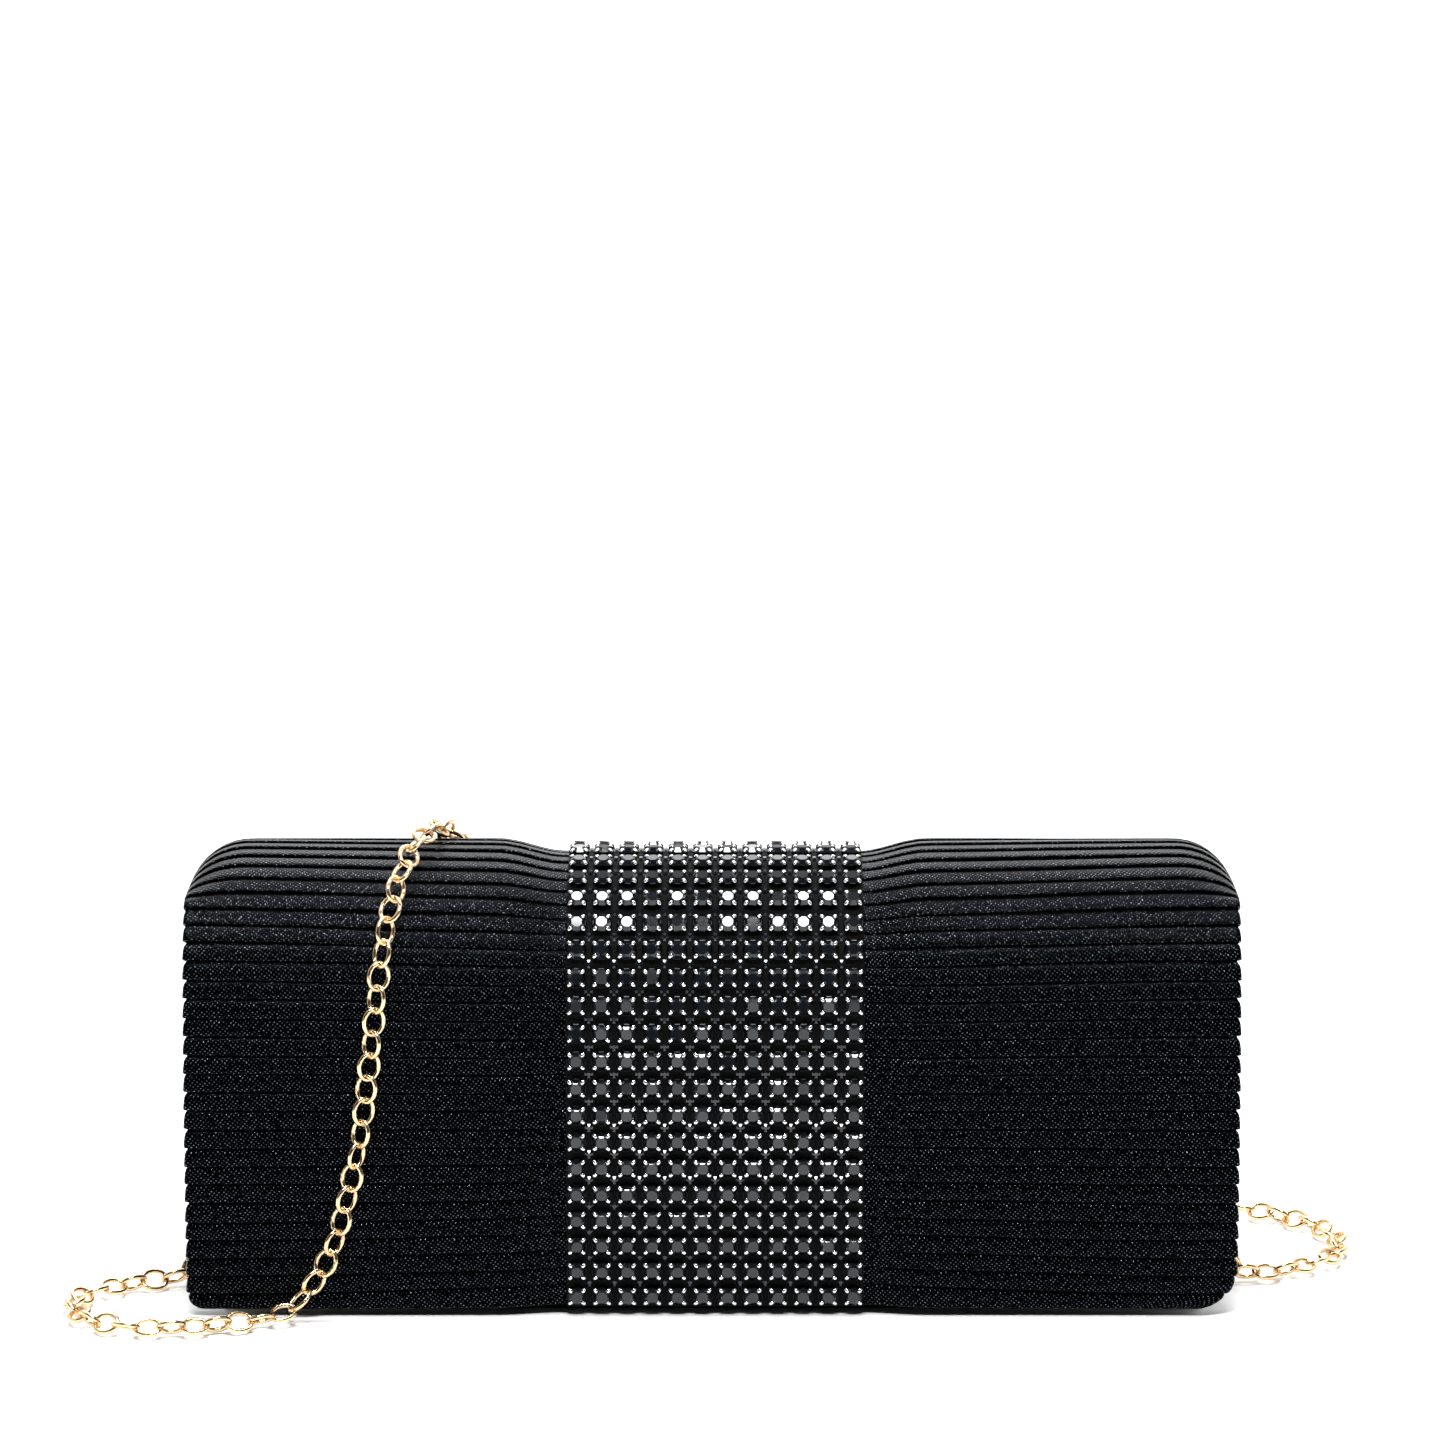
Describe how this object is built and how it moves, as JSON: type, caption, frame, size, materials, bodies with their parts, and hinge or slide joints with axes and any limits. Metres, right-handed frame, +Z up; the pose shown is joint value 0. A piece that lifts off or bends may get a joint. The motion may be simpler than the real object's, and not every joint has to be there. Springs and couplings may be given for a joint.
{
  "type": "evening bag",
  "caption": "Hard-sided clutch with a full flap in horizontally pleated satin, a rhinestone band down its middle, a magnetic snap and a slim clip-on chain strap.",
  "frame": {"origin": "middle of the base, on the ground", "axes": "+X along the width, to the right seen from the front; the front faces -Y; +Z up"},
  "size_m": [0.3114, 0.1247, 0.1148],
  "materials": {
    "pleated_satin": "pleated black-blue satin with a fine metallic thread",
    "plain_satin": "plain black satin",
    "lining_satin": "smooth lining satin",
    "greyboard": "pressed greyboard, inside the cloth",
    "net": "black mesh that holds the cups",
    "gunmetal": "dark plated claw cups",
    "jet_glass": "faceted jet glass, foiled behind",
    "gold_plate": "polished pale gold plate",
    "snap_steel": "nickel-plated steel",
    "magnet": "pressed ferrite"
  },
  "bodies": {
    "pouch": {"back_board": "greyboard", "front_board": "greyboard", "base_board": "greyboard", "side_board_left": "greyboard", "side_board_right": "greyboard", "back_cover": "pleated_satin", "front_cover": "plain_satin", "base_cover": "plain_satin", "side_cover_left": "plain_satin", "side_cover_right": "plain_satin", "back_lining": "lining_satin", "front_lining": "lining_satin", "base_lining": "lining_satin", "side_lining_left": "lining_satin", "side_lining_right": "lining_satin", "slip_pocket": "lining_satin", "front_binding": "plain_satin", "side_binding_left": "plain_satin", "side_binding_right": "plain_satin", "hinge_roll": "pleated_satin", "snap_socket": "snap_steel", "snap_magnet": "magnet", "snap_socket_washer": "snap_steel", "ring_tab_left": "plain_satin", "ring_tab_right": "plain_satin", "clasp_left": "gold_plate", "clasp_right": "gold_plate", "gate_pin_left": "gold_plate", "gate_pin_right": "gold_plate", "jump_ring_left": "gold_plate", "jump_ring_right": "gold_plate", "chain_left": "gold_plate", "chain_drape": "gold_plate", "chain_back": "gold_plate"},
    "flap": {"flap_board": "greyboard", "flap_cover": "pleated_satin", "flap_lining": "lining_satin", "band_net": "net", "band_cups": "gunmetal", "band_stones": "jet_glass", "band_small_stones": "jet_glass", "snap_stud": "snap_steel", "snap_stud_washer": "snap_steel"},
    "ring_left_body": {"ring_left": "gold_plate"},
    "ring_right_body": {"ring_right": "gold_plate"},
    "gate_left_body": {"gate_left": "gold_plate"},
    "gate_right_body": {"gate_right": "gold_plate"}
  },
  "joints": [
    {"name": "flap_hinge", "type": "hinge", "parent": "pouch", "child": "flap", "pos_m": [0, 0.0281, 0.08], "axis": [-1, 0, 0], "range_deg": [0, 120], "deforming": ["chain_drape"]},
    {"name": "ring_left_swing", "type": "hinge", "parent": "pouch", "child": "ring_left_body", "pos_m": [-0.1204, 0, 0.084], "axis": [0, 1, 0], "range_deg": [-5, 5]},
    {"name": "ring_right_swing", "type": "hinge", "parent": "pouch", "child": "ring_right_body", "pos_m": [0.1204, 0, 0.084], "axis": [0, 1, 0], "range_deg": [-5, 5]},
    {"name": "gate_left_press", "type": "hinge", "parent": "pouch", "child": "gate_left_body", "pos_m": [-0.1225, 0, 0.0687], "axis": [0, 1, 0], "range_deg": [0, 18], "stiffness_Nm_per_rad": 0.001, "springref_deg": -5.73},
    {"name": "gate_right_press", "type": "hinge", "parent": "pouch", "child": "gate_right_body", "pos_m": [0.1225, 0, 0.0687], "axis": [0, -1, 0], "range_deg": [0, 18], "stiffness_Nm_per_rad": 0.001, "springref_deg": -5.73}
  ]
}
